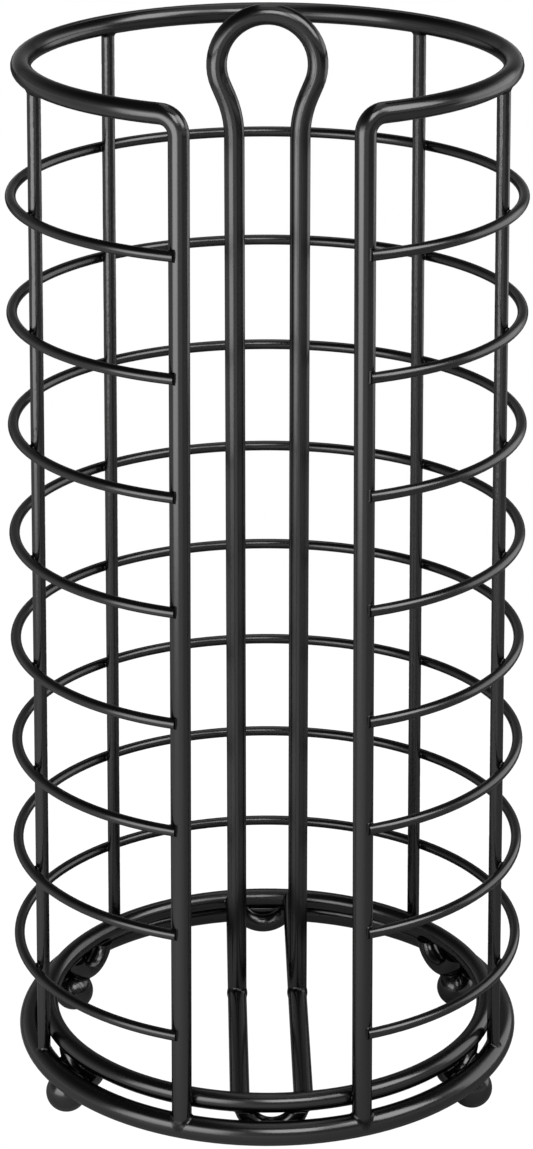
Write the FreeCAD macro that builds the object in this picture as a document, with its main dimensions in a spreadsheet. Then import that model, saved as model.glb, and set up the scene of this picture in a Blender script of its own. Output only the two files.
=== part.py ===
import FreeCAD, Part
import math
import os
import Sketcher

# Free-standing toilet paper holder: a welded cage of round steel rod with an open front, a
# hairpin post for the roll cores and a ring that the rolls rest on.
# Millimetres, +Z up, front towards -Y. The origin is on the floor, under the middle of the cage.

SIZES = [
    # cage rods
    ("rod_diameter", 6.0, "bent rod of the rim and both front uprights"),
    ("rim_radius", 71.0, "rim, axis to rod centre"),
    ("rim_height", 323.0, "rim, floor to rod centre"),
    ("rim_bend", 5.5, "centre-line radius where the rim turns down"),
    ("upright_angle", 20.8, "front uprights, degrees each side of the front"),
    ("stay_diameter", 4.0, "side and rear stays"),
    ("side_angle", 68.8, "side stays, degrees each side of the front"),
    ("rear_angle", 138.3, "rear stays, degrees each side of the front"),
    # hoops
    ("hoop_diameter", 3.2, "wire of the open hoops"),
    ("top_gap", 38.4, "rim's centre down to the top hoop's"),
    ("bottom_gap", 32.0, "bottom hoop's centre down to the base ring's"),
    ("pitch_loss", 0.32, "each pitch of the hoops is this much less than the one above"),
    ("hoop_setback", 0.35, "hoop end, short of the upright's centre line"),
    # base
    ("base_diameter", 7.5, "rod of the base ring"),
    ("base_radius", 75.25, "base ring, axis to rod centre"),
    ("rest_diameter", 6.0, "rod of the ring that the rolls rest on"),
    ("rest_rise", 7.3, "roll rest ring's centre above the base ring's"),
    ("rest_overhang", 1.3, "roll rest ring's centre line outside the brackets'"),
    ("bracket_diameter", 6.0, "rod of the U brackets between the two rings"),
    ("bracket_span", 8.2, "U bracket, middle to the centre of an arm"),
    ("bracket_drop", 1.65, "lowest rod centre of a bracket, below the base ring's"),
    ("bracket_angle", 58.0, "side brackets, degrees from the front or the back"),
    ("bar_diameter", 6.0, "rod of the two floor bars"),
    # feet
    ("foot_radius", 6.4, "ball foot"),
    ("foot_inset", 3.7, "ball's centre, inside the base ring's centre line"),
    ("foot_flat", 0.4, "depth ground off the bottom of each ball"),
    ("foot_saddle", 1.05, "how deep the base ring sits in a ball"),
    ("foot_angle", 62.0, "feet, degrees from the front or the back"),
    # post
    ("post_diameter", 6.0, "rod of the post"),
    ("leg_offset", 9.6, "post leg, middle to rod centre"),
    ("loop_radius", 14.65, "handle loop, centre-line radius"),
    ("loop_height", 322.2, "floor to the loop's centre"),
    ("neck_radius", 30.0, "centre-line radius where a leg sways out"),
    ("neck_straight", 3.8, "straight between a leg's sway and the loop"),
    # joints
    ("weld_sink", 0.15, "how far a hoop and a stay sink together where they cross"),
    ("seat_sink", 0.04, "how far a coped end or a bracket melts into what it touches"),
    ("cope_land", 1.0, "coped end, short of the centre line of the rod that it is cut to"),
    ("saddle_gap", 0.05, "clearance of the rods in the balls' saddles"),
]
HOOP_COUNT = 8

doc = FreeCAD.newDocument("toilet_paper_holder")
sheet = doc.addObject("Spreadsheet::Sheet", "Sizes")
for row, (alias, number, note) in enumerate(SIZES, start=1):
    sheet.set("A%d" % row, alias)
    sheet.set("B%d" % row, str(number))
    sheet.set("C%d" % row, note)
    sheet.setAlias("B%d" % row, alias)
doc.recompute()

sub_parts = []


def value(expression):
    """What an expression on the sheet comes to, in millimetres, degrees or as a plain number."""
    result = sheet.evalExpression(expression)
    return float(getattr(result, "Value", result))


# ---- lines and circles that several pieces share, as expressions on the sheet ----

# Base: the balls stand on their flats, the base ring sits in them, the brackets hang inside it.
FOOT_HEIGHT = "(Sizes.foot_radius - Sizes.foot_flat)"
FOOT_CIRCLE = "(Sizes.base_radius - Sizes.foot_inset)"
BASE_HEIGHT = ("(%s + sqrt((Sizes.foot_radius + Sizes.base_diameter / 2 - Sizes.foot_saddle) ^ 2"
               " - Sizes.foot_inset ^ 2))" % FOOT_HEIGHT)
BASE_CUT = "(Sizes.base_diameter - 2 * Sizes.seat_sink)"
COPE_LOW = "(%s + Sizes.cope_land)" % BASE_HEIGHT
REST_HEIGHT = "(%s + Sizes.rest_rise)" % BASE_HEIGHT

# A bracket is an arc in an upright plane that is square to the radius.
BRACKET_LOW = "(%s - Sizes.bracket_drop)" % BASE_HEIGHT
BRACKET_TOP = "(%s - Sizes.rest_diameter / 2 + Sizes.seat_sink)" % REST_HEIGHT
BRACKET_RISE = "(%s - %s)" % (BRACKET_TOP, BRACKET_LOW)
BRACKET_BEND = "((Sizes.bracket_span ^ 2 + %s ^ 2) / (2 * %s))" % (BRACKET_RISE, BRACKET_RISE)
BRACKET_RADIUS = ("(sqrt((Sizes.base_radius - Sizes.base_diameter / 2 + Sizes.seat_sink) ^ 2"
                  " - Sizes.bracket_drop * (2 * %s - Sizes.bracket_drop))"
                  " - Sizes.bracket_diameter / 2)" % BRACKET_BEND)
REST_RADIUS = "(%s + Sizes.rest_overhang)" % BRACKET_RADIUS
POST_LOW = "(%s + Sizes.cope_land)" % REST_HEIGHT

# Cage: the uprights and stays lean out from the rim to the base ring.
RIM_CUT = "(Sizes.rod_diameter - 2 * Sizes.seat_sink)"
COPE_HIGH = "(Sizes.rim_height - Sizes.cope_land)"
LEAN = ("((Sizes.base_radius - Sizes.rim_radius) / (Sizes.rim_height - %s))" % BASE_HEIGHT)
RIM_END_ANGLE = "(Sizes.upright_angle + atan(Sizes.rim_bend / Sizes.rim_radius) / 1 deg)"
HOOP_SPREAD = ("(Sizes.rim_height - Sizes.top_gap - %s - Sizes.bottom_gap)" % BASE_HEIGHT)


def cage_radius(height):
    """Distance from the axis to the line that runs from the rim's centre to the base ring's."""
    return "(Sizes.rim_radius + %s * (Sizes.rim_height - %s))" % (LEAN, height)


def hoop_radius(height):
    """Centre-line radius of a hoop: it wraps the stays, which lean along the cage line."""
    return ("(%s + Sizes.stay_diameter / 2 + Sizes.hoop_diameter / 2 - Sizes.weld_sink)"
            % cage_radius(height))


def upright_radius(height):
    """Distance from the axis to an upright, which the bend sets off from the rim's end."""
    return "sqrt(%s ^ 2 + Sizes.rim_bend ^ 2)" % cage_radius(height)


def upright_turn(height):
    """Degrees from the front to an upright's centre line at this height."""
    return "(%s - atan(Sizes.rim_bend / %s) / 1 deg)" % (RIM_END_ANGLE, cage_radius(height))


def hoop_height(index):
    """Height of a hoop, counted from the top: the pitch shrinks evenly on the way down."""
    pitches = HOOP_COUNT - 1
    return ("(Sizes.rim_height - Sizes.top_gap - %s * %d / %d - Sizes.pitch_loss * %d / 2)"
            % (HOOP_SPREAD, index, pitches, index * (pitches - index)))


def hoop_end_angle(height):
    """Degrees from the front to a hoop's cut end, on the flank of the upright."""
    return ("(%s + Sizes.hoop_setback / %s * 180 / pi)"
            % (upright_turn(height), hoop_radius(height)))


# ---- helpers for bodies and sketches ----

def new_body(label):
    body = doc.addObject("PartDesign::Body", label)
    body.Label = label
    sub_parts.append(body)
    return body


def new_sketch(body, name, role):
    """A sketch on one of the body's own origin planes."""
    sketch = body.newObject("Sketcher::SketchObject", body.Label + "_" + name)
    plane = [item for item in body.Origin.OriginFeatures if item.Role == role][0]
    sketch.AttachmentSupport = [(plane, "")]
    sketch.MapMode = "FlatFace"
    doc.recompute()
    return sketch


def bind(sketch, constraint, name, expression):
    """Adds a driving constraint and ties it to the sheet."""
    index = sketch.addConstraint(constraint)
    sketch.renameConstraint(index, name)
    sketch.setExpression("Constraints." + name, expression)


def bind_point(sketch, geometry, vertex, name, across, up):
    """Ties a point of a sketch to its distances across and up from the origin."""
    bind(sketch, Sketcher.Constraint("DistanceX", -1, 1, geometry, vertex, value(across)),
         name + "_across", across)
    bind(sketch, Sketcher.Constraint("DistanceY", -1, 1, geometry, vertex, value(up)),
         name + "_up", up)


def add_circle(sketch, across, up, diameter, prefix=""):
    """A wire's round section, its centre across and up from the origin."""
    centre = FreeCAD.Vector(value(across), value(up), 0)
    circle = sketch.addGeometry(
        Part.Circle(centre, FreeCAD.Vector(0, 0, 1), value(diameter) / 2))
    bind_point(sketch, circle, 3, prefix + "centre", across, up)
    bind(sketch, Sketcher.Constraint("Diameter", circle, value(diameter)), prefix + "diameter",
         diameter)


def add_axis(sketch, start_across, start_up, end_across, end_up):
    """A construction line that a revolution turns about."""
    axis = sketch.addGeometry(Part.LineSegment(
        FreeCAD.Vector(value(start_across), value(start_up), 0),
        FreeCAD.Vector(value(end_across), value(end_up), 0)), True)
    bind_point(sketch, axis, 1, "axis_start", start_across, start_up)
    bind_point(sketch, axis, 2, "axis_end", end_across, end_up)


def turn_about_axis(body, degrees):
    """Turns a body made along +X to its place; degrees count from the front towards +X."""
    body.setExpression("Placement",
                       "placement(vector(0; 0; 0); rotation(vector(0; 0; 1); %s - 90))" % degrees)


def cope_to_ring(body, name, radius, height, cut):
    """Cuts a rod's end to the round of a ring that lies about the axis."""
    section = new_sketch(body, name + "_section", "XZ_Plane")
    add_circle(section, radius, height, cut)
    groove = body.newObject("PartDesign::Groove", body.Label + "_" + name)
    groove.Profile = section
    groove.ReferenceAxis = (section, ["V_Axis"])
    groove.Midplane = True
    groove.Angle = 360
    doc.recompute()


# ---- rings: a wire section turned about the axis ----

def make_ring(label, radius, height, diameter):
    body = new_body(label)
    section = new_sketch(body, "section", "XZ_Plane")
    add_circle(section, radius, height, diameter)
    turned = body.newObject("PartDesign::Revolution", label + "_turned")
    turned.Profile = section
    turned.ReferenceAxis = (section, ["V_Axis"])
    turned.Angle = 360


make_ring("base_ring", "Sizes.base_radius", BASE_HEIGHT, "Sizes.base_diameter")
make_ring("roll_rest_ring", REST_RADIUS, REST_HEIGHT, "Sizes.rest_diameter")


# ---- hoops: open rings that widen with the cage, coped to the outside of both uprights ----

def make_hoop(label, index):
    height = hoop_height(index)
    body = new_body(label)
    section = new_sketch(body, "section", "YZ_Plane")
    add_circle(section, hoop_radius(height), height, "Sizes.hoop_diameter")
    turned = body.newObject("PartDesign::Revolution", label + "_turned")
    turned.Profile = section
    turned.ReferenceAxis = (section, ["V_Axis"])
    turned.Midplane = True
    turned.setExpression("Angle", "360 - 2 * %s" % hoop_end_angle(height))
    doc.recompute()

    uprights = new_sketch(body, "uprights", "XY_Plane")
    for side in ("left", "right"):
        sign = "-1" if side == "left" else "1"
        add_circle(uprights,
                   "%s * %s * sin(%s * 1 deg)" % (sign, upright_radius(height),
                                                  upright_turn(height)),
                   "-1 * %s * cos(%s * 1 deg)" % (upright_radius(height), upright_turn(height)),
                   RIM_CUT, side + "_")
    coped = body.newObject("PartDesign::Pocket", label + "_coped")
    coped.Profile = uprights
    coped.Reversed = True
    coped.Type = "ThroughAll"


for number in range(HOOP_COUNT):
    make_hoop("hoop_%d" % (number + 1), number)


# ---- rim and front uprights: one rod, bent at both ends of the rim, coped to the base ring ----

def make_rim():
    """The rod follows an upright, a tight bend, the rim round the back, and down again."""
    bend = value("Sizes.rim_bend")
    radius = value("Sizes.rim_radius")
    end_angle = math.radians(value(RIM_END_ANGLE))
    lean = math.atan(value(LEAN))
    run = (value("Sizes.rim_height") - value(COPE_LOW)) / math.cos(lean) - bend
    centre = FreeCAD.Vector(0, 0, value("Sizes.rim_height"))
    ends = []
    for side in (-1, 1):
        outward = FreeCAD.Vector(side * math.sin(end_angle), -math.cos(end_angle), 0)
        ahead = FreeCAD.Vector(-side * math.cos(end_angle), -math.sin(end_angle), 0)
        down = outward * math.sin(lean) - FreeCAD.Vector(0, 0, math.cos(lean))
        rim_end = centre + outward * radius
        bend_end = rim_end + (down + ahead) * bend
        bend_middle = rim_end + down * bend + (ahead - down) * (bend / math.sqrt(2))
        foot = bend_end + down * run
        ends.append((foot, bend_end, bend_middle, rim_end))
    left, right = ends
    path = doc.addObject("Part::Feature", "rim_path")
    path.Shape = Part.Wire([
        Part.LineSegment(left[0], left[1]).toShape(),
        Part.Arc(left[1], left[2], left[3]).toShape(),
        Part.Arc(left[3], centre + FreeCAD.Vector(0, radius, 0), right[3]).toShape(),
        Part.Arc(right[3], right[2], right[1]).toShape(),
        Part.LineSegment(right[1], right[0]).toShape(),
    ])
    section = doc.addObject("Part::Circle", "rim_section")
    section.setExpression("Radius", "Sizes.rod_diameter / 2")
    section.Placement = FreeCAD.Placement(
        left[0], FreeCAD.Rotation(FreeCAD.Vector(0, 0, 1), left[1] - left[0]))
    rod = doc.addObject("Part::Sweep", "rim_rod")
    rod.Sections = [section]
    rod.Spine = path
    rod.Solid = True
    rod.Frenet = True
    ring = doc.addObject("Part::Torus", "base_ring_cut")
    ring.setExpression("Radius1", "Sizes.base_radius")
    ring.setExpression("Radius2", "%s / 2" % BASE_CUT)
    ring.setExpression("Placement.Base.z", BASE_HEIGHT)
    coped = doc.addObject("Part::Cut", "rim_and_uprights")
    coped.Label = "rim_and_uprights"
    coped.Base = rod
    coped.Tool = ring
    sub_parts.append(coped)


make_rim()


# ---- stays: straight wire from the base ring to the rim, coped to both ----

def make_stay(label, degrees):
    body = new_body(label)
    spine = new_sketch(body, "spine", "XZ_Plane")
    foot = FreeCAD.Vector(value(cage_radius(COPE_LOW)), value(COPE_LOW), 0)
    top = FreeCAD.Vector(value(cage_radius(COPE_HIGH)), value(COPE_HIGH), 0)
    line = spine.addGeometry(Part.LineSegment(foot, top))
    bind_point(spine, line, 1, "foot", cage_radius(COPE_LOW), COPE_LOW)
    bind_point(spine, line, 2, "top", cage_radius(COPE_HIGH), COPE_HIGH)
    section = new_sketch(body, "section", "XY_Plane")
    section.setExpression("AttachmentOffset.Base.z", COPE_LOW)
    add_circle(section, cage_radius(COPE_LOW), "0", "Sizes.stay_diameter")
    pipe = body.newObject("PartDesign::AdditivePipe", label + "_pipe")
    pipe.Profile = section
    pipe.Spine = (spine, ["Edge1"])
    doc.recompute()
    cope_to_ring(body, "foot", "Sizes.base_radius", BASE_HEIGHT, BASE_CUT)
    cope_to_ring(body, "top", "Sizes.rim_radius", "Sizes.rim_height", RIM_CUT)
    turn_about_axis(body, degrees)


make_stay("side_stay_left", "-Sizes.side_angle")
make_stay("side_stay_right", "Sizes.side_angle")
make_stay("rear_stay_left", "-Sizes.rear_angle")
make_stay("rear_stay_right", "Sizes.rear_angle")


# ---- U brackets: they carry the roll rest ring on the inside of the base ring ----

def sketch_bracket(body, name, diameter):
    """A bracket's lowest section and the level line that it turns about."""
    sketch = new_sketch(body, name, "XZ_Plane")
    add_circle(sketch, BRACKET_RADIUS, BRACKET_LOW, diameter)
    bend_height = "%s + %s" % (BRACKET_LOW, BRACKET_BEND)
    add_axis(sketch, BRACKET_RADIUS, bend_height, "Sizes.base_radius", bend_height)
    return sketch


def make_bracket(label, degrees):
    """Rod bent to a U, with both arms cut off level where they carry the roll rest ring."""
    body = new_body(label)
    section = sketch_bracket(body, "section", "Sizes.bracket_diameter")
    bent = body.newObject("PartDesign::Revolution", label + "_bent")
    bent.Profile = section
    bent.ReferenceAxis = (section, ["Axis0"])
    bent.Midplane = True
    bent.setExpression("Angle", "4 * atan(%s / Sizes.bracket_span) + 60 deg" % BRACKET_RISE)
    doc.recompute()

    outline = new_sketch(body, "cut_off", "XY_Plane")
    outline.setExpression("AttachmentOffset.Base.z", BRACKET_TOP)
    add_circle(outline, BRACKET_RADIUS, "0", "4 * %s" % BRACKET_BEND)
    cut = body.newObject("PartDesign::Pocket", label + "_cut")
    cut.Profile = outline
    cut.Reversed = True
    cut.Type = "ThroughAll"
    turn_about_axis(body, degrees)


make_bracket("bracket_front", "0")
make_bracket("bracket_front_left", "-Sizes.bracket_angle")
make_bracket("bracket_front_right", "Sizes.bracket_angle")
make_bracket("bracket_rear", "180")
make_bracket("bracket_rear_left", "-180 + Sizes.bracket_angle")
make_bracket("bracket_rear_right", "180 - Sizes.bracket_angle")


# ---- ball feet: saddled to the base ring and to a bracket, ground flat underneath ----

def make_foot(label, degrees, bracket_turn):
    body = new_body(label)
    profile = new_sketch(body, "profile", "XZ_Plane")
    radius = value("Sizes.foot_radius")
    centre = FreeCAD.Vector(value(FOOT_CIRCLE), value(FOOT_HEIGHT), 0)
    half_flat = math.sqrt(radius ** 2 - centre.y ** 2)
    top = centre + FreeCAD.Vector(0, radius, 0)
    flat_middle = FreeCAD.Vector(centre.x, 0, 0)
    flat_edge = FreeCAD.Vector(centre.x + half_flat, 0, 0)
    arc = profile.addGeometry(Part.ArcOfCircle(
        Part.Circle(centre, FreeCAD.Vector(0, 0, 1), radius),
        math.atan2(-centre.y, half_flat), math.pi / 2))
    flat = profile.addGeometry(Part.LineSegment(flat_edge, flat_middle))
    spindle = profile.addGeometry(Part.LineSegment(flat_middle, top))
    profile.addConstraint(Sketcher.Constraint("Coincident", arc, 1, flat, 1))
    profile.addConstraint(Sketcher.Constraint("Coincident", flat, 2, spindle, 1))
    profile.addConstraint(Sketcher.Constraint("Coincident", spindle, 2, arc, 2))
    profile.addConstraint(Sketcher.Constraint("Vertical", spindle))
    profile.addConstraint(Sketcher.Constraint("Horizontal", flat))
    profile.addConstraint(Sketcher.Constraint("PointOnObject", flat, 2, -1))
    profile.addConstraint(Sketcher.Constraint("PointOnObject", arc, 3, spindle))
    bind_point(profile, arc, 3, "ball", FOOT_CIRCLE, FOOT_HEIGHT)
    bind(profile, Sketcher.Constraint("Radius", arc, radius), "ball", "Sizes.foot_radius")
    add_axis(profile, FOOT_CIRCLE, "0", FOOT_CIRCLE, "Sizes.foot_radius")
    ball = body.newObject("PartDesign::Revolution", label + "_ball")
    ball.Profile = profile
    ball.ReferenceAxis = (profile, ["Axis0"])
    ball.Angle = 360
    doc.recompute()

    ring_section = new_sketch(body, "ring_section", "XZ_Plane")
    add_circle(ring_section, "Sizes.base_radius", BASE_HEIGHT,
               "Sizes.base_diameter + 2 * Sizes.saddle_gap")
    ring_saddle = body.newObject("PartDesign::Groove", label + "_ring_saddle")
    ring_saddle.Profile = ring_section
    ring_saddle.ReferenceAxis = (ring_section, ["V_Axis"])
    ring_saddle.Midplane = True
    ring_saddle.Angle = 60
    doc.recompute()

    bracket_section = sketch_bracket(body, "bracket_section",
                                     "Sizes.bracket_diameter + 2 * Sizes.saddle_gap")
    bracket_section.setExpression("AttachmentOffset",
                                  "placement(vector(0; 0; 0); rotation(vector(0; 1; 0); %s))"
                                  % bracket_turn)
    bracket_saddle = body.newObject("PartDesign::Groove", label + "_bracket_saddle")
    bracket_saddle.Profile = bracket_section
    bracket_saddle.ReferenceAxis = (bracket_section, ["Axis0"])
    bracket_saddle.Midplane = True
    bracket_saddle.Angle = 180
    turn_about_axis(body, degrees)


TO_BRACKET = "(Sizes.bracket_angle - Sizes.foot_angle)"
make_foot("foot_front_left", "-Sizes.foot_angle", "-1 * %s" % TO_BRACKET)
make_foot("foot_front_right", "Sizes.foot_angle", TO_BRACKET)
make_foot("foot_rear_left", "-180 + Sizes.foot_angle", TO_BRACKET)
make_foot("foot_rear_right", "180 - Sizes.foot_angle", "-1 * %s" % TO_BRACKET)


# ---- floor bars: two rods across the roll rest ring, coped to it, one under each post leg ----

def make_floor_bar(label, degrees):
    body = new_body(label)
    section = new_sketch(body, "section", "YZ_Plane")
    add_circle(section, "Sizes.leg_offset", REST_HEIGHT, "Sizes.bar_diameter")
    rod = body.newObject("PartDesign::Pad", label + "_rod")
    rod.Profile = section
    rod.Midplane = True
    rod.setExpression("Length", "2 * (sqrt(%s ^ 2 - Sizes.leg_offset ^ 2) - Sizes.cope_land)"
                      % REST_RADIUS)
    doc.recompute()
    cope_to_ring(body, "ends", REST_RADIUS, REST_HEIGHT,
                 "(Sizes.rest_diameter - 2 * Sizes.seat_sink)")
    turn_about_axis(body, degrees)


make_floor_bar("floor_bar_left", "180")
make_floor_bar("floor_bar_right", "0")


# ---- centre post: a hairpin of rod whose closed end is the handle loop ----

NECK_REACH = "(Sizes.loop_radius + Sizes.neck_radius)"
NECK_LEAN = ("((acos((Sizes.leg_offset + Sizes.neck_radius)"
             " / sqrt(%s ^ 2 + Sizes.neck_straight ^ 2))"
             " - atan(Sizes.neck_straight / %s)) / 1 deg)" % (NECK_REACH, NECK_REACH))


def make_post():
    body = new_body("centre_post")
    spine = new_sketch(body, "spine", "XZ_Plane")
    leg = value("Sizes.leg_offset")
    loop = value("Sizes.loop_radius")
    neck = value("Sizes.neck_radius")
    lean = math.radians(value(NECK_LEAN))
    loop_centre = FreeCAD.Vector(0, value("Sizes.loop_height"), 0)
    loop_side = loop_centre + FreeCAD.Vector(math.cos(lean), -math.sin(lean), 0) * loop
    slope = FreeCAD.Vector(-math.sin(lean), -math.cos(lean), 0)
    slope_foot = loop_side + slope * value("Sizes.neck_straight")
    leg_top = FreeCAD.Vector(leg, slope_foot.y - neck * math.sin(lean), 0)
    leg_foot = FreeCAD.Vector(leg, value(POST_LOW), 0)
    neck_centre = leg_top + FreeCAD.Vector(neck, 0, 0)
    normal = FreeCAD.Vector(0, 0, 1)

    def flip(point):
        return FreeCAD.Vector(-point.x, point.y, 0)

    right_leg = spine.addGeometry(Part.LineSegment(leg_foot, leg_top))
    right_neck = spine.addGeometry(Part.ArcOfCircle(
        Part.Circle(neck_centre, normal, neck), math.pi - lean, math.pi))
    right_slope = spine.addGeometry(Part.LineSegment(slope_foot, loop_side))
    handle = spine.addGeometry(Part.ArcOfCircle(
        Part.Circle(loop_centre, normal, loop), -lean, math.pi + lean))
    left_slope = spine.addGeometry(Part.LineSegment(flip(loop_side), flip(slope_foot)))
    left_neck = spine.addGeometry(Part.ArcOfCircle(
        Part.Circle(flip(neck_centre), normal, neck), 0, lean))
    left_leg = spine.addGeometry(Part.LineSegment(flip(leg_top), flip(leg_foot)))
    for first, first_end, second, second_end in (
            (right_leg, 2, right_neck, 2), (right_neck, 1, right_slope, 1),
            (right_slope, 2, handle, 1), (handle, 2, left_slope, 1),
            (left_slope, 2, left_neck, 2), (left_neck, 1, left_leg, 1)):
        spine.addConstraint(
            Sketcher.Constraint("Tangent", first, first_end, second, second_end))
    spine.addConstraint(Sketcher.Constraint("Vertical", right_leg))
    spine.addConstraint(Sketcher.Constraint("Vertical", left_leg))
    spine.addConstraint(Sketcher.Constraint("Symmetric", right_leg, 1, left_leg, 2, -2))
    spine.addConstraint(Sketcher.Constraint("Symmetric", handle, 1, handle, 2, -2))
    spine.addConstraint(Sketcher.Constraint("Equal", right_neck, left_neck))
    bind_point(spine, right_leg, 1, "foot", "Sizes.leg_offset", POST_LOW)
    bind_point(spine, handle, 3, "loop", "0", "Sizes.loop_height")
    bind(spine, Sketcher.Constraint("Radius", handle, loop), "loop", "Sizes.loop_radius")
    bind(spine, Sketcher.Constraint("Radius", right_neck, neck), "neck", "Sizes.neck_radius")
    bind(spine, Sketcher.Constraint("Distance", right_slope, value("Sizes.neck_straight")),
         "neck_straight", "Sizes.neck_straight")
    section = new_sketch(body, "section", "XY_Plane")
    section.setExpression("AttachmentOffset.Base.z", POST_LOW)
    add_circle(section, "Sizes.leg_offset", "0", "Sizes.post_diameter")
    pipe = body.newObject("PartDesign::AdditivePipe", "centre_post_pipe")
    pipe.Profile = section
    pipe.Spine = spine
    doc.recompute()

    bars = new_sketch(body, "bars", "XZ_Plane")
    for side in ("left", "right"):
        sign = "-1" if side == "left" else "1"
        add_circle(bars, "%s * Sizes.leg_offset" % sign, REST_HEIGHT,
                   "(Sizes.bar_diameter - 2 * Sizes.seat_sink)", side + "_")
    coped = body.newObject("PartDesign::Pocket", "centre_post_coped")
    coped.Profile = bars
    coped.Midplane = True
    coped.Type = "ThroughAll"


make_post()
doc.recompute()

for item in doc.Objects:
    if "Invalid" in item.State or "Error" in item.State:
        raise RuntimeError("%s: %s" % (item.Label, item.State))
for item in sub_parts:
    if item.Shape.isNull() or not item.Shape.isValid() or len(item.Shape.Solids) != 1:
        raise RuntimeError("%s is not one valid solid" % item.Label)

os.makedirs("parts", exist_ok=True)
for item in sub_parts:
    item.Shape.exportStep(os.path.join("parts", item.Label + ".step"))
    box = item.Shape.optimalBoundingBox(False, False)
    print("%-20s volume %8.1f  x %6.1f %6.1f  y %6.1f %6.1f  z %6.1f %6.1f"
          % (item.Label, item.Shape.Volume, box.XMin, box.XMax, box.YMin, box.YMax,
             box.ZMin, box.ZMax))
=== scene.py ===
import math

import bpy
import numpy as np
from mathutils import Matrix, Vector


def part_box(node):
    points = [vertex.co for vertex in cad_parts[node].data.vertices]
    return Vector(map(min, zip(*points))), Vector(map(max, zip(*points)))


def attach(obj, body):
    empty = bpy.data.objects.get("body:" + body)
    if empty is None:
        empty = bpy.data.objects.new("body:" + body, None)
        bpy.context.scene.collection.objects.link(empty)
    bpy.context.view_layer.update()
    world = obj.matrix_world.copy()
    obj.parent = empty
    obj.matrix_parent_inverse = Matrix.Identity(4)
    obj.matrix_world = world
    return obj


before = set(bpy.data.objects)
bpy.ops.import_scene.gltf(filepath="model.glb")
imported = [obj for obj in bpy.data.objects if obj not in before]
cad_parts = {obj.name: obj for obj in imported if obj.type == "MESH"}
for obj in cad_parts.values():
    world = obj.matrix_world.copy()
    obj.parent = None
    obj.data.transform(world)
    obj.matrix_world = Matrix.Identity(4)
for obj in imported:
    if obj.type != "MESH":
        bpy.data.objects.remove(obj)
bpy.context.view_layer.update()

MM = 0.001

scene = bpy.context.scene
scene.view_settings.view_transform = "Standard"


# ---- materials ----

def add_node(tree, kind, **settings):
    """A new node with its settings and, by name, the values of its inputs."""
    node = tree.nodes.new(kind)
    for name, value in settings.items():
        if name in node.inputs:
            node.inputs[name].default_value = value
        else:
            setattr(node, name, value)
    return node


def add_range(tree, value, levels, span=(0.0, 1.0), interpolation="LINEAR"):
    """The output of a node that maps a span of values to a span of levels."""
    node = add_node(tree, "ShaderNodeMapRange", interpolation_type=interpolation,
                    **{"From Min": span[0], "From Max": span[1],
                       "To Min": levels[0], "To Max": levels[1]})
    tree.links.new(value, node.inputs["Value"])
    return node.outputs["Result"]


def add_maths(tree, operation, first, second):
    """The output of a maths node that takes two outputs."""
    node = add_node(tree, "ShaderNodeMath", operation=operation)
    tree.links.new(first, node.inputs[0])
    tree.links.new(second, node.inputs[1])
    return node.outputs["Value"]


def new_tree(name):
    """A material by name, its cleared node tree and the surface input of its output."""
    material = bpy.data.materials.new(name)
    material.use_nodes = True
    tree = material.node_tree
    tree.nodes.clear()
    return material, tree, add_node(tree, "ShaderNodeOutputMaterial").inputs["Surface"]


# Pairs that go to add_range are the levels, or the span of values, from its start to its end.
COAT_DARK = (0.0010, 0.0010, 0.0011, 1)
COAT_LIGHT = (0.0016, 0.0016, 0.0017, 1)
COAT_ROUGHNESS = (0.17, 0.23)
# Painted shade: the gloss falls from the first level to the second across this span of facing,
# darkening the rods' edges.
FACING_SPAN = (0.20, 0.70)
EDGE_SHADE_SPECULAR = (0.5, 0.02)
# Painted shade: the share of gloss left, from the open fillet to the depth of a weld's corner,
# darkening the joints.
CORNER_SHADE_SHARE = (1.0, 0.2)


def black_coat():
    """Satin black powder coat: a faint orange peel, and a gloss that varies a little.

    Its gloss fades where the surface turns away, a painted shade on the rods' edges, and in the
    corner of each weld, a painted shade in the joints.
    """
    material, tree, surface = new_tree("black_coat")
    coat = add_node(tree, "ShaderNodeBsdfPrincipled", IOR=1.6)
    tree.links.new(coat.outputs["BSDF"], surface)
    place = add_node(tree, "ShaderNodeTexCoord")

    tone = add_node(tree, "ShaderNodeTexNoise", Scale=60.0, Detail=3.0)
    tree.links.new(place.outputs["Object"], tone.inputs["Vector"])
    shades = add_node(tree, "ShaderNodeValToRGB")
    dark, light = shades.color_ramp.elements
    dark.position, dark.color = 0.35, COAT_DARK
    light.position, light.color = 0.65, COAT_LIGHT
    tree.links.new(tone.outputs["Fac"], shades.inputs["Fac"])
    tree.links.new(shades.outputs["Color"], coat.inputs["Base Color"])
    tree.links.new(add_range(tree, tone.outputs["Fac"], COAT_ROUGHNESS),
                   coat.inputs["Roughness"])

    # Painted shade: the gloss fades where the surface turns from the view, as if the rods'
    # flanks reflected dark surroundings.
    turn = add_node(tree, "ShaderNodeLayerWeight", Blend=0.5)
    specular = add_range(tree, turn.outputs["Facing"], EDGE_SHADE_SPECULAR, FACING_SPAN)
    # Painted shade: the welds' corner attribute holds the gloss down so that the joints look
    # shaded.
    corner = add_node(tree, "ShaderNodeAttribute", attribute_name="corner")
    share = add_range(tree, corner.outputs["Fac"], CORNER_SHADE_SHARE)
    tree.links.new(add_maths(tree, "MULTIPLY", specular, share),
                   coat.inputs["Specular IOR Level"])

    peel = add_node(tree, "ShaderNodeTexNoise", Scale=420.0, Detail=2.0)
    tree.links.new(place.outputs["Object"], peel.inputs["Vector"])
    bump = add_node(tree, "ShaderNodeBump", Strength=0.04, Distance=0.2 * MM)
    tree.links.new(peel.outputs["Fac"], bump.inputs["Height"])
    tree.links.new(bump.outputs["Normal"], coat.inputs["Normal"])
    return material


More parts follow.
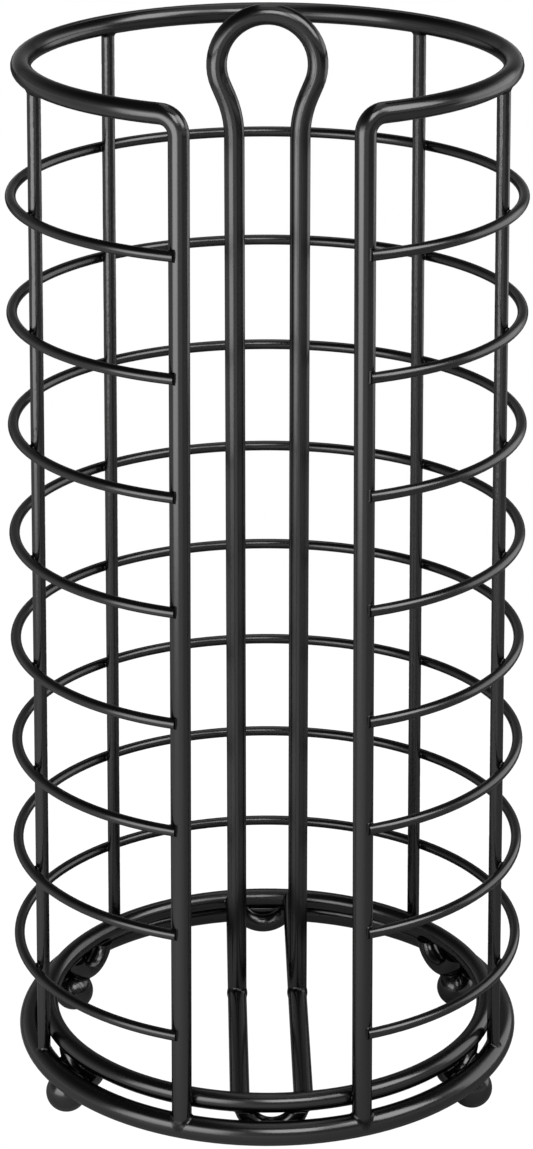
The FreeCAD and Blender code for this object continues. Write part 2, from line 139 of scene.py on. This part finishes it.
coat_material = black_coat()
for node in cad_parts.values():
    node.data.materials.clear()
    node.data.materials.append(coat_material)
    for polygon in node.data.polygons:
        polygon.use_smooth = True


# ---- welds: the coat runs into a small fillet round every joint ----
#
# A joint's fillet is where two rods blend into one, a little outside both of them. Most rods'
# rounds and heights come from their nodes' boxes; the sizes here repeat the part's own.

ROD = 3.0 * MM
STAY = 2.0 * MM
COPE = 1.0 * MM
STAY_ANGLES = (-138.3, -68.8, 68.8, 138.3)
UPRIGHT_ANGLE = math.radians(20.8)
UPRIGHT_BEND = 5.5 * MM
UPRIGHT_TOP_RADIUS = 71.0 * MM
BRACKETS = {"bracket_front": 0.0, "bracket_front_left": -58.0, "bracket_front_right": 58.0,
            "bracket_rear": 180.0, "bracket_rear_left": -122.0, "bracket_rear_right": 122.0}
BRACKET_SPAN = 8.2 * MM
FOOT_FLAT = 0.4 * MM

# How deep a fillet's edge and its hidden back lie under the rods' surfaces.
EDGE_DEPTH = 0.1 * MM
BACK_DEPTH = 0.45 * MM
SHARP_ANGLE = math.radians(50)


def weld_size(blend, reach, step):
    """A kind of fillet, in millimetres.

    It fills the corner where the rods' surfaces are less than the blend apart, inside a box
    of this reach, with a mesh of this step. The box is centred a little off the place where
    the rods touch, to hold the whole fillet.
    """
    return blend * MM, reach * MM, step * MM


def tube_of(node):
    """Half the thickness of a level ring or rod, its height, and its reach along +X."""
    low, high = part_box(node)
    return (high.z - low.z) / 2, (high.z + low.z) / 2, high.x


def ring_centre(node):
    """Radius and height of a level ring's centre line."""
    tube, height, reach = tube_of(node)
    return reach - tube, height


def at_angle(degrees, radius, height):
    """A point by its angle from the front towards +X, its distance from the axis and height."""
    turn = math.radians(degrees)
    return np.array((radius * math.sin(turn), -radius * math.cos(turn), height))


def ring_field(radius, height, tube):
    """Distance to the surface of a ring that lies level about the axis."""
    return lambda p: np.hypot(np.hypot(p[..., 0], p[..., 1]) - radius,
                              p[..., 2] - height) - tube


def rod_field(start, end, tube):
    """Distance to the surface of a straight rod, whose round ends lie inside other rods."""
    start, end = np.array(start), np.array(end)
    length = np.linalg.norm(end - start)
    along = (end - start) / length

    def field(p):
        offset = p - start
        share = np.clip(offset @ along, 0, length)[..., None]
        return np.linalg.norm(offset - share * along, axis=-1) - tube
    return field


def bracket_field(degrees):
    """Distance to the surface of a U bracket, with its arms cut off level.

    All brackets are alike, and the box of the rear one gives their size.
    """
    low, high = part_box("bracket_rear")
    radius = high.y - ROD
    rise = high.z - low.z - ROD
    bend = (BRACKET_SPAN ** 2 + rise ** 2) / (2 * rise)
    middle = low.z + ROD + bend
    out, along = at_angle(degrees, 1, 0), at_angle(degrees + 90, 1, 0)

    def field(p):
        off_bend = np.hypot(p @ along, p[..., 2] - middle) - bend
        return np.maximum(np.hypot(p @ out - radius, off_bend) - ROD, p[..., 2] - high.z)
    return field


def ball_of(node):
    """Centre of a ball foot and the distance to its surface."""
    low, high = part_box(node)
    radius = (high.x - low.x) / 2
    centre = np.array(((low.x + high.x) / 2, (low.y + high.y) / 2, radius - FOOT_FLAT))
    return centre, lambda p: np.maximum(np.linalg.norm(p - centre, axis=-1) - radius, -p[..., 2])


def surface_net(field, low, high, step):
    """Points and quads of the surface where a field is nought, inside a box."""
    counts = [int(math.ceil((high[i] - low[i]) / step)) + 1 for i in range(3)]
    axes = [low[i] + step * np.arange(counts[i]) for i in range(3)]
    grid = np.stack(np.meshgrid(*axes, indexing="ij"), axis=-1)
    values = field(grid)
    cells = tuple(n - 1 for n in counts)

    def corner(array, offset):
        return array[offset[0]:offset[0] + cells[0], offset[1]:offset[1] + cells[1],
                     offset[2]:offset[2] + cells[2]]

    total = np.zeros(cells + (3,))
    crossings = np.zeros(cells)
    for axis in range(3):
        others = [i for i in range(3) if i != axis]
        for first in (0, 1):
            for second in (0, 1):
                start = [0, 0, 0]
                start[others[0]], start[others[1]] = first, second
                end = list(start)
                end[axis] = 1
                value_a, value_b = corner(values, start), corner(values, end)
                crosses = (value_a < 0) != (value_b < 0)
                gap = np.where(crosses, value_a - value_b, 1.0)
                share = np.where(crosses, value_a / gap, 0.0)[..., None]
                point = corner(grid, start) * (1 - share) + corner(grid, end) * share
                total += np.where(crosses[..., None], point, 0.0)
                crossings += crosses
    used = crossings > 0
    number = np.full(cells, -1)
    number[used] = np.arange(int(used.sum()))
    points = total[used] / crossings[used][:, None]

    quads = []
    for axis in range(3):
        u, v = (axis + 1) % 3, (axis + 2) % 3
        inner = [slice(1, n - 1) for n in counts]
        inner[axis] = slice(0, counts[axis] - 1)
        after = list(inner)
        after[axis] = slice(1, counts[axis])
        before, behind = values[tuple(inner)] < 0, values[tuple(after)] < 0
        for inside_first in (True, False):
            hits = np.argwhere((before != behind) & (before == inside_first))
            hits[:, u] += 1
            hits[:, v] += 1
            ring = []
            for step_u, step_v in ((1, 1), (0, 1), (0, 0), (1, 0)):
                cell = hits.copy()
                cell[:, u] -= step_u
                cell[:, v] -= step_v
                ring.append(number[cell[:, 0], cell[:, 1], cell[:, 2]])
            if not inside_first:
                ring.reverse()
            quads.append(np.stack(ring, axis=1))
    return points, np.concatenate(quads)


def slope_of(field, points):
    """The slope of a field at some points, by small steps to either side."""
    nudge = 1e-6
    return np.stack([(field(points + shift) - field(points - shift)) / (2 * nudge)
                     for shift in np.eye(3) * nudge], axis=-1)


def fillet(first, second, centre, size):
    """Points, normals, depth in the corner, which the coat shows as painted shade, and quads of
    the coat between two rods.

    The coat's edge dives under both rods, deeper than their meshes' facets lie. Only points
    of its outer face have normals; the others have noughts, which leave them to the mesh.
    """
    blend, reach, step = size
    wall, outer_depth = 1.5 * step, 0.6 * step
    centre = np.array(centre)

    def blended(p):
        a, b = first(p), second(p)
        overlap = np.maximum(blend - np.abs(a - b), 0) / blend
        return np.minimum(a, b) - overlap ** 2 * blend / 4 + (1 - overlap) ** 2 * EDGE_DEPTH

    def field(p):
        a, b = first(p), second(p)
        coat = np.maximum(blended(p), -BACK_DEPTH - np.minimum(a, b))
        near = np.abs(p - centre).max(axis=-1) - reach + wall
        return np.maximum(np.maximum(coat, np.abs(a - b) - blend), near)

    points, quads = surface_net(field, centre - reach, centre + reach, step)
    # Newton's steps bring the points of the outer face onto it.
    for _ in range(3):
        value = blended(points)[:, None]
        slope = slope_of(blended, points)
        steepness = np.linalg.norm(slope, axis=1, keepdims=True) + 1e-9
        outer = np.abs(value) < outer_depth
        points = np.where(outer, points - value * slope / steepness ** 2, points)
    # Painted shade: how deep a point lies in the corner between the rods, from which the coat
    # holds down its gloss to darken the joint.
    corner = np.clip(1 - np.abs(first(points) - second(points)) / blend, 0, 1)
    return points, np.where(outer, slope / steepness, 0.0), corner, quads


def add_welds(name, fillets):
    """One piece from all fillets of a kind, in the black coat."""
    points, normals, corner_shades, quads = zip(*fillets)
    starts = np.cumsum([0] + [len(some_points) for some_points in points[:-1]])
    quads = [some_quads + start for some_quads, start in zip(quads, starts)]
    mesh = bpy.data.meshes.new(name)
    mesh.from_pydata(np.concatenate(points).tolist(), [], np.concatenate(quads).tolist())
    mesh.update()
    mesh.shade_smooth()
    mesh.set_sharp_from_angle(angle=SHARP_ANGLE)
    mesh.normals_split_custom_set_from_vertices(np.concatenate(normals).tolist())
    # The corner depth goes to the coat as painted shade in the welds' corners.
    depth = mesh.attributes.new("corner", "FLOAT", "POINT")
    depth.data.foreach_set("value", np.concatenate(corner_shades).astype(np.float32))
    mesh.materials.append(coat_material)
    welds = bpy.data.objects.new(name, mesh)
    scene.collection.objects.link(welds)
    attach(welds, "root")


rim_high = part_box("rim_and_uprights")[1]
RIM_HEIGHT = rim_high.z - ROD
RIM_RADIUS = rim_high.x - ROD
BASE_RADIUS, BASE_HEIGHT = ring_centre("base_ring")
REST_RADIUS, REST_HEIGHT = ring_centre("roll_rest_ring")
RIM_END = UPRIGHT_ANGLE + math.atan(UPRIGHT_BEND / UPRIGHT_TOP_RADIUS)


def cage_radius(height):
    """Distance from the axis to the leaning line of stays and uprights."""
    share = (height - BASE_HEIGHT) / (RIM_HEIGHT - BASE_HEIGHT)
    return BASE_RADIUS + (RIM_RADIUS - BASE_RADIUS) * share


def upright_point(side, height):
    """A point on an upright's centre line, on the left (-1) or the right (1)."""
    radius = cage_radius(height)
    turn = RIM_END - math.atan(UPRIGHT_BEND / radius)
    return at_angle(side * math.degrees(turn), math.hypot(radius, UPRIGHT_BEND), height)


def stay_point(degrees, height):
    """A point on the centre line of the stay at this angle."""
    return at_angle(degrees, cage_radius(height), height)


# Each rod runs on past its fillets' boxes, or ends inside another rod.
rim_field = ring_field(RIM_RADIUS, RIM_HEIGHT, ROD)
base_field = ring_field(BASE_RADIUS, BASE_HEIGHT, tube_of("base_ring")[0])
rest_field = ring_field(REST_RADIUS, REST_HEIGHT, ROD)
uprights = {side: rod_field(upright_point(side, BASE_HEIGHT + COPE),
                            upright_point(side, RIM_HEIGHT * 0.9), ROD) for side in (-1, 1)}
stays = {degrees: rod_field(stay_point(degrees, BASE_HEIGHT + COPE),
                            stay_point(degrees, RIM_HEIGHT - COPE), STAY)
         for degrees in STAY_ANGLES}


def hoop_welds(node):
    """Fillets of one hoop, lists of those on the stays and of those on the uprights."""
    tube, height, reach = tube_of(node)
    whole = ring_field(reach - tube, height, tube)
    size = weld_size(0.7, 2.2, 0.18)
    crossings = [fillet(whole, stay, at_angle(degrees, reach - 2 * tube, height), size)
                 for degrees, stay in stays.items()]

    ends = []
    vertices = np.array([tuple(vertex.co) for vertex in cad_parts[node].data.vertices])
    for side in (-1, 1):
        turns = np.arctan2(side * vertices[:, 0], -vertices[:, 1])
        turn = turns[turns > 0].min()
        toward_front = np.array((-side * math.cos(turn), -math.sin(turn), 0))

        def cut_hoop(p):
            return np.maximum(whole(p), p @ toward_front)
        end = at_angle(side * math.degrees(turn), reach - tube - 0.6 * MM, height)
        ends.append(fillet(cut_hoop, uprights[side], end, weld_size(0.6, 3.2, 0.18)))
    return crossings, ends


crossings, hoop_ends = [], []
for index in range(1, 9):
    on_stays, on_uprights = hoop_welds("hoop_%d" % index)
    crossings += on_stays
    hoop_ends += on_uprights
add_welds("welds_hoop_crossings", crossings)
add_welds("welds_hoop_ends", hoop_ends)

stay_ends = []
for degrees, stay in stays.items():
    stay_ends.append(fillet(base_field, stay, stay_point(degrees, BASE_HEIGHT + 3.4 * MM),
                            weld_size(1.0, 4.0, 0.24)))
    stay_ends.append(fillet(rim_field, stay, stay_point(degrees, RIM_HEIGHT - 2.6 * MM),
                            weld_size(1.0, 3.6, 0.24)))
add_welds("welds_stay_ends", stay_ends)

upright_feet = []
for side in (-1, 1):
    upright_feet.append(fillet(base_field, uprights[side],
                               upright_point(side, BASE_HEIGHT + 2.6 * MM),
                               weld_size(1.1, 5.4, 0.2)))
    beside_rest = upright_point(side, REST_HEIGHT) * (0.96, 0.96, 1)
    upright_feet.append(fillet(rest_field, uprights[side], beside_rest,
                               weld_size(0.9, 4.6, 0.2)))
add_welds("welds_upright_feet", upright_feet)

bracket_fields = {node: bracket_field(degrees) for node, degrees in BRACKETS.items()}
bracket_welds = []
for node, degrees in BRACKETS.items():
    for side in (-1, 1):
        lean_to = (at_angle(degrees, BASE_RADIUS - 4.2 * MM, BASE_HEIGHT)
                   + at_angle(degrees + 90, side * 5.1 * MM, 0))
        bracket_welds.append(fillet(base_field, bracket_fields[node], lean_to,
                                    weld_size(0.9, 3.4, 0.26)))
        carried = (at_angle(degrees, REST_RADIUS - 0.8 * MM, REST_HEIGHT - ROD)
                   + at_angle(degrees + 90, side * BRACKET_SPAN, 0))
        bracket_welds.append(fillet(rest_field, bracket_fields[node], carried,
                                    weld_size(0.9, 4.2, 0.26)))
add_welds("welds_brackets", bracket_welds)

foot_welds = []
for end in ("front", "rear"):
    for side in ("left", "right"):
        centre, ball = ball_of("foot_%s_%s" % (end, side))
        foot_welds.append(fillet(base_field, ball, centre * (1.02, 1.02, 1.9),
                                 weld_size(1.2, 6.4, 0.28)))
        bracket = bracket_fields["bracket_%s_%s" % (end, side)]
        foot_welds.append(fillet(bracket, ball, centre * (0.98, 0.98, 1.75),
                                 weld_size(0.9, 6.0, 0.28)))
add_welds("welds_ball_feet", foot_welds)

floor_welds = []
floor_size = weld_size(1.2, 5.2, 0.25)
for node in ("floor_bar_left", "floor_bar_right"):
    low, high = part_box(node)
    across = (low.x + high.x) / 2
    bar = rod_field((across, -0.95 * high.y, REST_HEIGHT), (across, 0.95 * high.y, REST_HEIGHT),
                    ROD)
    post = rod_field((across, 0, REST_HEIGHT + COPE), (across, 0, REST_HEIGHT + 30 * MM), ROD)
    floor_welds.append(fillet(bar, post, (across, 0, REST_HEIGHT + 2.4 * MM), floor_size))
    for end in (-1, 1):
        bar_end = (across, end * (high.y - 2.0 * MM), REST_HEIGHT)
        floor_welds.append(fillet(bar, rest_field, bar_end, floor_size))
add_welds("welds_floor_bars", floor_welds)


# ---- stage ----

def ray_kinds(tree):
    """Nought or one: whether a ray comes from the camera, and whether from gloss or glass."""
    path = add_node(tree, "ShaderNodeLightPath")
    clear = add_node(tree, "ShaderNodeMath", operation="MAXIMUM")
    tree.links.new(path.outputs["Is Glossy Ray"], clear.inputs[0])
    tree.links.new(path.outputs["Is Transmission Ray"], clear.inputs[1])
    return path.outputs["Is Camera Ray"], clear.outputs["Value"]


PAPER_GREY = (0.33, 0.33, 0.33, 1)
PAPER_GLOW = (1.22, 1.0)
GLOW_SPAN = (0.08, 0.45)
PAPER_SEEN = (0.82, 1.0)
SEEN_SPAN = (0.08, 0.40)
# The way, span and levels of the painted light and shade that gloss and glass see on the floor.
MIRRORED_WAY = (-0.85, -0.55, 0)
MIRRORED_SPAN = (-0.05, 0.26)
MIRRORED = (0.05, 0.72)


def pale_floor():
    """White paper, which shows its own light and shade close to the object.

    The camera sees mostly its glow, and far from the object nothing else. Gloss and glass show
    the glow brighter towards the front left and dim behind and to the right: painted light and
    shade that the rods reflect.
    """
    material, tree, surface = new_tree("paper_sweep")
    paper = add_node(tree, "ShaderNodeBsdfDiffuse", Color=PAPER_GREY)
    white = add_node(tree, "ShaderNodeEmission")
    place = add_node(tree, "ShaderNodeTexCoord")
    far = add_node(tree, "ShaderNodeVectorMath", operation="LENGTH")
    tree.links.new(place.outputs["Object"], far.inputs[0])
    distance = far.outputs["Value"]
    tree.links.new(add_range(tree, distance, PAPER_GLOW, GLOW_SPAN, "SMOOTHSTEP"),
                   white.inputs["Strength"])

    camera_ray, clear = ray_kinds(tree)
    seen = add_maths(tree, "MULTIPLY", camera_ray,
                     add_range(tree, distance, PAPER_SEEN, SEEN_SPAN, "SMOOTHSTEP"))
    # Painted light and shade in the floor's gloss: the glow that gloss and glass see runs from
    # dim behind and to the right to bright at the front left.
    along = add_node(tree, "ShaderNodeVectorMath", operation="DOT_PRODUCT")
    along.inputs[1].default_value = MIRRORED_WAY
    tree.links.new(place.outputs["Object"], along.inputs[0])
    mirrored = add_maths(tree, "MULTIPLY", clear,
                         add_range(tree, along.outputs["Value"], MIRRORED, MIRRORED_SPAN,
                                   "SMOOTHSTEP"))
    mix = add_node(tree, "ShaderNodeMixShader")
    tree.links.new(add_maths(tree, "MAXIMUM", seen, mirrored), mix.inputs["Fac"])
    tree.links.new(paper.outputs["BSDF"], mix.inputs[1])
    tree.links.new(white.outputs["Emission"], mix.inputs[2])
    tree.links.new(mix.outputs["Shader"], surface)
    return material


bpy.ops.mesh.primitive_plane_add(size=12, location=(0, 0, 0))
floor = bpy.context.object
floor.name = "floor"
floor.data.materials.append(pale_floor())


# Levels of the backdrop in gloss, by the sine of the height above the horizon.
BACKDROP = ((0.0, 1.0), (0.07, 0.55), (0.25, 0.42), (0.5, 0.14), (0.7, 0.04))
DIM_STUDIO = 0.015


def studio_world():
    """The white backdrop, which gloss and glass show fading upwards, and a dim studio."""
    world = bpy.data.worlds.new("studio")
    scene.world = world
    world.use_nodes = True
    tree = world.node_tree
    background = tree.nodes["Background"]
    background.inputs["Color"].default_value = (1, 1, 1, 1)
    place = add_node(tree, "ShaderNodeTexCoord")
    split = add_node(tree, "ShaderNodeSeparateXYZ")
    tree.links.new(place.outputs["Generated"], split.inputs["Vector"])
    fade = add_node(tree, "ShaderNodeValToRGB")
    steps = fade.color_ramp.elements
    while len(steps) < len(BACKDROP):
        steps.new(0.5)
    for step, (position, level) in zip(steps, BACKDROP):
        step.position = position
        step.color = (level, level, level, 1)
    tree.links.new(split.outputs["Z"], fade.inputs["Fac"])
    camera_ray, clear = ray_kinds(tree)
    mirrored = add_maths(tree, "MULTIPLY", clear, fade.outputs["Color"])
    lit = add_node(tree, "ShaderNodeMath", operation="MAXIMUM")
    lit.inputs[1].default_value = DIM_STUDIO
    tree.links.new(add_maths(tree, "MAXIMUM", camera_ray, mirrored), lit.inputs[0])
    tree.links.new(lit.outputs["Value"], background.inputs["Strength"])


studio_world()


MIDDLE = Vector((0, 0, 0.16))


def soft_box(name, azimuth, elevation, distance, width, height, radiance):
    """A lamp that shows in the rods' gloss but not in the view, aimed at the object's middle.

    Its azimuth counts in degrees from the front towards +X. Its radiance is that of its face.
    """
    lamp = bpy.data.lights.new(name, "AREA")
    lamp.shape = "RECTANGLE"
    lamp.size = width
    lamp.size_y = height
    lamp.energy = radiance * width * height * 4
    lamp_object = bpy.data.objects.new(name, lamp)
    scene.collection.objects.link(lamp_object)
    turn, rise = math.radians(azimuth), math.radians(elevation)
    out = Vector((math.sin(turn) * math.cos(rise), -math.cos(turn) * math.cos(rise),
                  math.sin(rise)))
    lamp_object.location = MIDDLE + out * distance
    lamp_object.rotation_euler = (-out).to_track_quat("-Z", "Y").to_euler()
    lamp_object.visible_camera = False
    return lamp_object


# Upright lamps: azimuth, distance, width, lower and upper edge, and radiance. Those of one
# place stand a little behind each other, so that their edges are soft.
WALL_LAMPS = {"front_left_1": (-42, 0.570, 0.55, 0.005, 0.50, 0.85),
              "front_left_2": (-42, 0.566, 0.51, 0.015, 0.43, 0.95),
              "front_left_3": (-42, 0.562, 0.46, 0.050, 0.38, 0.85),
              "front_left_4": (-35, 0.558, 0.46, 0.160, 0.37, 0.95),
              "right_wall_1": (118, 0.70, 0.73, 0.005, 0.62, 0.6),
              "right_wall_2": (116, 0.69, 0.64, 0.020, 0.52, 1.05)}
# Lamps from above: azimuth, elevation, distance, width, height, and radiance.
HIGH_LAMPS = {"rear_top": (176, 56, 1.5, 0.42, 1.0, 0.9),
              "front_top": (11, 43, 2.0, 0.76, 0.92, 5.4),
              "between_top": (38, 45, 1.98, 0.56, 0.80, 2.4),
              "right_top": (67, 41, 1.5, 0.78, 0.97, 4.4),
              "ceiling": (90, 80, 1.1, 0.7, 0.7, 0.45)}

for name, (azimuth, distance, width, low, high, radiance) in WALL_LAMPS.items():
    lamp_object = soft_box(name, azimuth, 0, distance, width, high - low, radiance)
    lamp_object.location.z = (low + high) / 2
for name, sizes in HIGH_LAMPS.items():
    soft_box(name, *sizes)


# ---- camera ----

EYE_DISTANCE = 978.2 * MM
EYE_HEIGHT = 536.9 * MM
EYE_AZIMUTH = math.radians(-1.14)
EYE_PITCH = math.radians(20.82)
EYE_YAW = math.radians(0.014)
SENSOR_HEIGHT = 36.0
FOCAL_LENGTH = 107.65

camera_data = bpy.data.cameras.new("camera")
camera_data.sensor_fit = "VERTICAL"
camera_data.sensor_height = SENSOR_HEIGHT
camera_data.lens = FOCAL_LENGTH
camera = bpy.data.objects.new("camera", camera_data)
scene.collection.objects.link(camera)
camera.location = (EYE_DISTANCE * math.sin(EYE_AZIMUTH), -EYE_DISTANCE * math.cos(EYE_AZIMUTH),
                   EYE_HEIGHT)
camera.rotation_euler = (math.radians(90) - EYE_PITCH, 0, EYE_AZIMUTH + EYE_YAW)
scene.camera = camera
